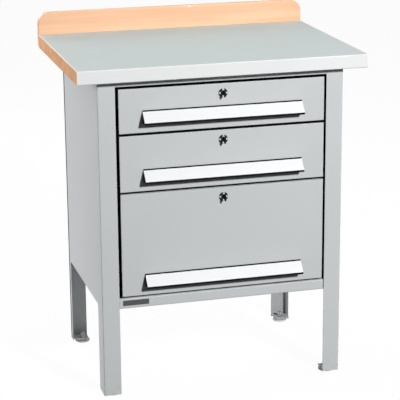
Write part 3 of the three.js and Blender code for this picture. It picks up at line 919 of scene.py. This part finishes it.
def make_thread_tree():
    """A wire wound round a stem."""
    sockets = {"Turns": "Float", "Height": "Float", "Radius": "Float", "Wire": "Float", "Place": "Vector",
               "Finish": "Material"}
    tree, given, result, keys = new_tree("stem_thread", sockets)
    path = add_node(tree, "GeometryNodeCurveSpiral", {
        "Resolution": 14, "Rotations": given["Turns"], "Start Radius": given["Radius"],
        "End Radius": given["Radius"], "Height": given["Height"]})
    section = add_node(tree, "GeometryNodeCurvePrimitiveCircle", {"Resolution": 5, "Radius": given["Wire"]})
    wire = add_node(tree, "GeometryNodeCurveToMesh", {
        "Curve": path.outputs["Curve"], "Profile Curve": section.outputs["Curve"], "Fill Caps": True})
    moved = add_node(tree, "GeometryNodeTransform",
                     {"Geometry": wire.outputs["Mesh"], "Translation": given["Place"]})
    finish_tree(tree, moved.outputs["Geometry"], given["Finish"], result)
    return tree, keys


thread_tree, thread_keys = make_thread_tree()
for corner in ("front_left", "front_right", "rear_left", "rear_right"):
    foot_low, foot_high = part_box(f"foot_{corner}")
    start = foot_low[2] + STEM_START + THREAD_PITCH
    run = foot_high[2] - start - THREAD_PITCH
    grow(f"foot_thread_{corner}", thread_tree, thread_keys, {
        "Turns": run / THREAD_PITCH, "Height": run, "Radius": THREAD_RADIUS, "Wire": THREAD_WIRE,
        "Place": ((foot_low[0] + foot_high[0]) / 2, (foot_low[1] + foot_high[1]) / 2, start),
        "Finish": stem_steel,
    }, f"foot_{corner}")

# %% [markdown]
# ## Rolled rims
# The sheet of a drawer tray is rolled over along its rim, so that no sharp edge is left where a hand reaches
# in. A rectangle with rounded corners is the path, and a small circle along it is the roll.

# %% Rolled edges round the drawer trays
HEM_RADIUS = 1.4 * mm
HEM_CORNER = 4.0 * mm


def make_hem_tree():
    """A rolled edge that follows a rectangle with round corners."""
    sockets = {"Width": "Float", "Depth": "Float", "Corner": "Float", "Roll": "Float", "Place": "Vector",
               "Finish": "Material"}
    tree, given, result, keys = new_tree("rolled_edge", sockets)
    rim = add_node(tree, "GeometryNodeCurvePrimitiveQuadrilateral",
                   {"Width": given["Width"], "Height": given["Depth"]})
    rounded = add_node(tree, "GeometryNodeFilletCurve", {
        "Curve": rim.outputs["Curve"], "Radius": given["Corner"]})
    section = add_node(tree, "GeometryNodeCurvePrimitiveCircle", {"Resolution": 10, "Radius": given["Roll"]})
    roll = add_node(tree, "GeometryNodeCurveToMesh",
                    {"Curve": rounded.outputs["Curve"], "Profile Curve": section.outputs["Curve"]})
    moved = add_node(tree, "GeometryNodeTransform",
                     {"Geometry": roll.outputs["Mesh"], "Translation": given["Place"]})
    finish_tree(tree, moved.outputs["Geometry"], given["Finish"], result)
    return tree, keys


hem_tree, hem_keys = make_hem_tree()
for drawer in DRAWERS:
    tray_low, tray_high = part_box(f"{drawer}_tray")
    grow(f"{drawer}_tray_hem", hem_tree, hem_keys, {
        "Width": tray_high[0] - tray_low[0] - 2 * HEM_RADIUS,
        "Depth": tray_high[1] - tray_low[1] - 2 * HEM_RADIUS,
        "Corner": HEM_CORNER, "Roll": HEM_RADIUS, "Finish": inner_paint,
        "Place": (0.0, (tray_low[1] + tray_high[1]) / 2, tray_high[2]),
    }, drawer)

# %% [markdown]
# ## Floor
# The bench stands on a pale floor. It looks white to the camera and in reflections, and it keeps the bench's
# shadow. To bounced light it is darker, most of all in front of the bench, so that the shadows under the
# grips stay deep. Light Path tells these rays apart.

# %% Floor
FLOOR_SIZE = 40.0
FLOOR_PALE = chart(250, 250, 250)
FLOOR_IN_FRONT = chart(32, 32, 32)
FLOOR_BELOW = chart(190, 190, 190)
FLOOR_EDGE = 0.1
FLOOR_GLOW = 0.96
WHITE = (1, 1, 1, 1)


def seen_by_eye(tree):
    """One where a ray comes from the camera or from a mirror or glass surface."""
    rays = add_node(tree, "ShaderNodeLightPath").outputs
    mirrored = maths(tree, "MAXIMUM", rays["Is Camera Ray"], rays["Is Glossy Ray"])
    return maths(tree, "MAXIMUM", mirrored, rays["Is Transmission Ray"])


def floor_finish():
    """A pale floor that is mostly white glow to the eye, so that it reads white and keeps a faint shadow."""
    material, tree, shader, place = new_finish("pale_floor")
    seen = seen_by_eye(tree)
    bench_on = {"Vector": place, "Start": side_low[1], "End": FLOOR_SIZE, "Soft": FLOOR_EDGE}
    below = use_group(tree, depth_mask, bench_on)
    bounced = mix_colours(tree, below["Mask"], FLOOR_IN_FRONT, FLOOR_BELOW)
    colour = mix_colours(tree, seen, bounced, FLOOR_PALE)
    toned = use_group(tree, mottle, {"Vector": place, "Color": colour, "Scale": 0.6, "Amount": 0.02})
    tree.links.new(toned["Color"], shader.inputs["Base Color"])
    shader.inputs["Roughness"].default_value = 0.8
    glow = add_node(tree, "ShaderNodeEmission", {"Color": WHITE, "Strength": 1.0})
    share = maths(tree, "MULTIPLY", seen, FLOOR_GLOW)
    blend = add_node(tree, "ShaderNodeMixShader", {0: share, 1: shader.outputs[0], 2: glow.outputs[0]})
    tree.links.new(blend.outputs[0], tree.nodes["Material Output"].inputs["Surface"])
    return material


def make_floor():
    """A wide square floor under the bench."""
    half = FLOOR_SIZE / 2
    corners = [(-half, -half, 0), (half, -half, 0), (half, half, 0), (-half, half, 0)]
    mesh = bpy.data.meshes.new("floor")
    mesh.from_pydata(corners, [], [(0, 1, 2, 3)])
    mesh.materials.append(floor_finish())
    floor = bpy.data.objects.new("floor", mesh)
    bpy.context.scene.collection.objects.link(floor)


make_floor()
print("floor", FLOOR_SIZE, "m wide")

# %% [markdown]
# ## Room
# The room behind is white to the camera and in reflections. As a light it is nearly off, because an even
# light from all sides would wash out the shadows that the lamps below throw.

# %% Room
ROOM_LIGHT = 0.006


def make_room():
    """A room that is white to the eye and gives hardly any light of its own."""
    world = bpy.data.worlds.new("room")
    bpy.context.scene.world = world
    world.use_nodes = True
    tree = world.node_tree
    strength = add_node(tree, "ShaderNodeMapRange",
                        {"Value": seen_by_eye(tree), "To Min": ROOM_LIGHT, "To Max": 1.0})
    sky = tree.nodes["Background"]
    sky.inputs["Color"].default_value = WHITE
    tree.links.new(strength.outputs["Result"], sky.inputs["Strength"])


make_room()
print("room light", ROOM_LIGHT)

# %% [markdown]
# ## Lamps
# A small strong lamp from the front right throws the crisp shadows of the grips and keys, down and to the
# left. Wide lamps at both sides, above and behind light the other faces and hardly touch the drawers.

# %% Lamps
# Angles are in degrees, distances and sizes in metres, powers in watts.
LAMPS = {
    "key_front_right": {"azimuth": 18, "elevation": 26, "distance": 5.0, "size": 0.42, "power": 232},
    "left_side": {"azimuth": -104, "elevation": 18, "distance": 3.5, "size": 1.2, "power": 54},
    "right_side": {"azimuth": 104, "elevation": 18, "distance": 3.5, "size": 1.2, "power": 40},
    "top": {"azimuth": 0, "elevation": 90, "distance": 3.0, "size": 1.2, "power": 16},
    "back": {"azimuth": 205, "elevation": 25, "distance": 3.5, "size": 1.6, "power": 48},
}


def make_lamp(name, azimuth, elevation, distance, size, power):
    """A square soft lamp on a ball round the bench, turned to its middle."""
    lamp = bpy.data.objects.new(name, bpy.data.lights.new(name, "AREA"))
    bpy.context.scene.collection.objects.link(lamp)
    lamp.data.size = size
    lamp.data.energy = power
    towards = on_ball(math.radians(azimuth), math.radians(elevation))
    lamp.location = CAMERA_AIM + towards * distance
    lamp.rotation_euler = (-towards).to_track_quat("-Z", "Y").to_euler()


for lamp_name, lamp_values in LAMPS.items():
    make_lamp(lamp_name, **lamp_values)
bpy.context.scene.view_settings.view_transform = "Standard"
print("lamps", sorted(LAMPS))
